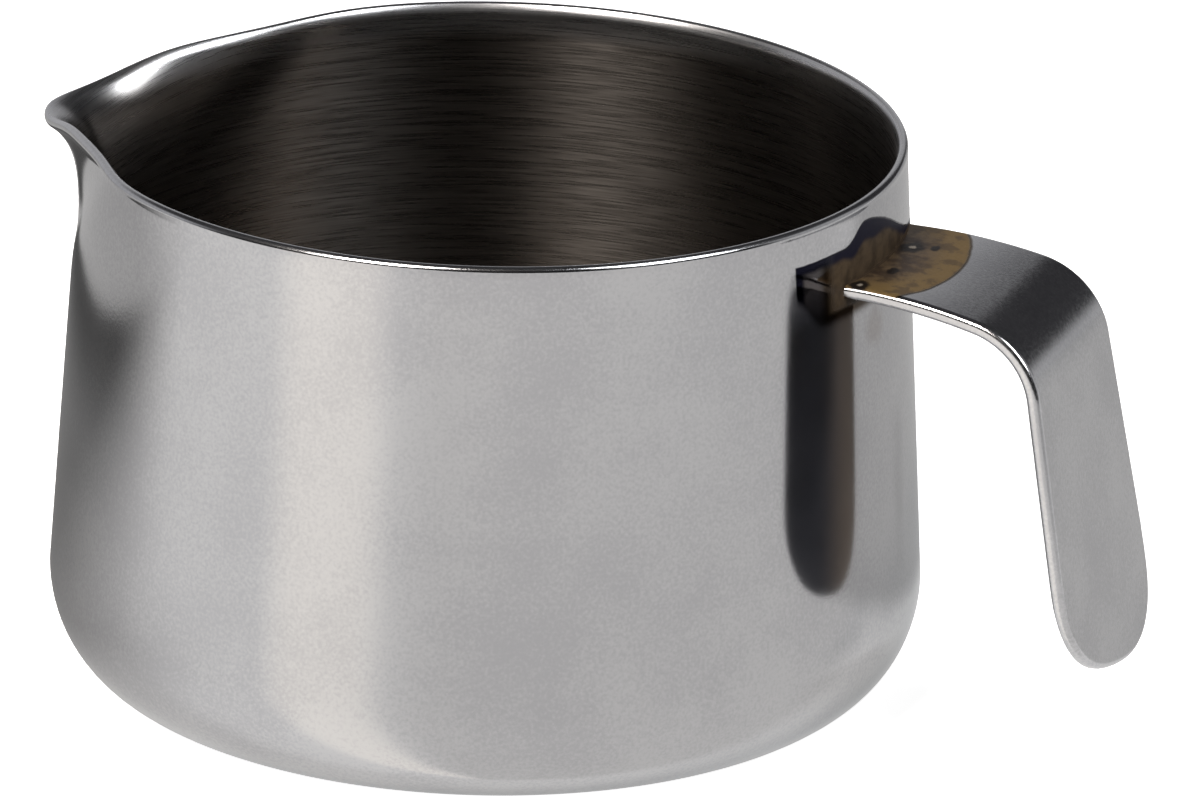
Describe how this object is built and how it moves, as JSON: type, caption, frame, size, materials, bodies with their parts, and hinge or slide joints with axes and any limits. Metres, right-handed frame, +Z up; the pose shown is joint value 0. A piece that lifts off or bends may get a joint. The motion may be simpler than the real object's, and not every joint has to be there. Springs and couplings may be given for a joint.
{
  "type": "candle melting pot",
  "caption": "Drawn steel melting pot with a rounded base corner, a pressed pouring spout and a tapered strap handle welded below the rim.",
  "frame": {"origin": "centre of the pot's flat underside", "axes": "+Z up out of the mouth, +X towards the handle, -X towards the pouring spout; the XZ plane halves the pot"},
  "size_m": [0.1253, 0.096, 0.0618],
  "materials": {
    "pot_steel": "satin polished outside, circular brushed inside",
    "strap_steel": "satin polished, heat tinted at the weld",
    "weld_steel": "bare weld metal, heat tinted brown"
  },
  "bodies": {
    "root": {"pot_body": "pot_steel", "handle_strap": "strap_steel", "weld_bead_upper": "weld_steel", "weld_bead_lower": "weld_steel"}
  },
  "joints": []
}
